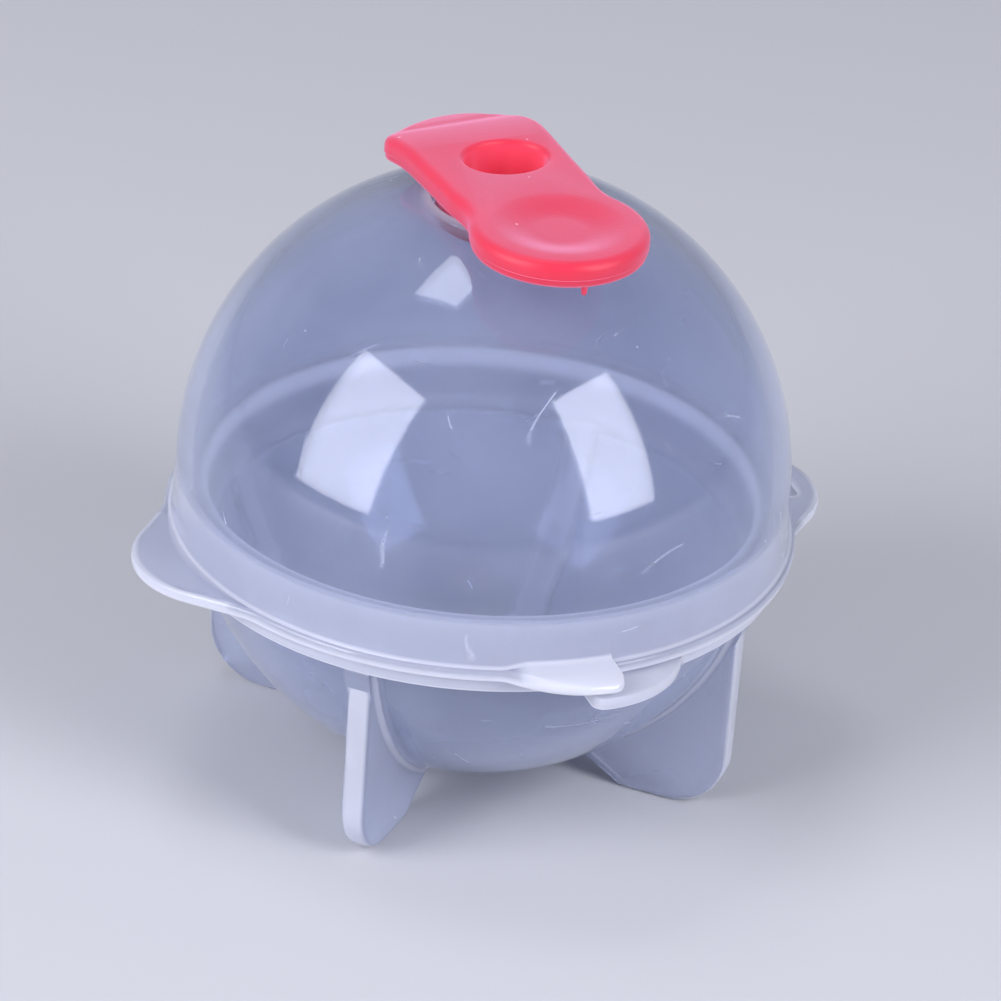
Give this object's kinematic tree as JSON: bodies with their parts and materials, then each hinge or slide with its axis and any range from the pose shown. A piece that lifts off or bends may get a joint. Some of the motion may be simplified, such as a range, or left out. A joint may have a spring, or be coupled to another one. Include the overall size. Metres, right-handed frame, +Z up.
{
  "type": "ice ball mould",
  "caption": "Ball-shaped ice mould: a clear dome lid pressed onto a clear footed bowl, its fill hole closed by a soft stopper strip.",
  "frame": {"origin": "on the floor under the middle of the box that holds the closed mould", "axes": "+Z up through the lid's crown; -Y towards the two finger lugs that part lid and bowl; +X towards the tab with the hanging slot"},
  "size_m": [0.0622, 0.0574, 0.0566],
  "materials": {
    "bowl_plastic": "clear, slightly milky polypropylene, glossy",
    "lid_plastic": "clear, slightly milky polypropylene, glossy",
    "stopper_silicone": "coral red silicone, satin"
  },
  "bodies": {
    "bowl": {"bowl_base": "bowl_plastic"},
    "lid": {"dome_lid": "lid_plastic"},
    "stopper": {"stopper": "stopper_silicone"}
  },
  "joints": [
    {"name": "lid_lift", "type": "slide", "parent": "bowl", "child": "lid", "axis": [0, 0, 1], "range_m": [0, 0.04]},
    {"name": "stopper_pull", "type": "slide", "parent": "lid", "child": "stopper", "axis": [0, 0, 1], "range_m": [0, 0.02]}
  ]
}
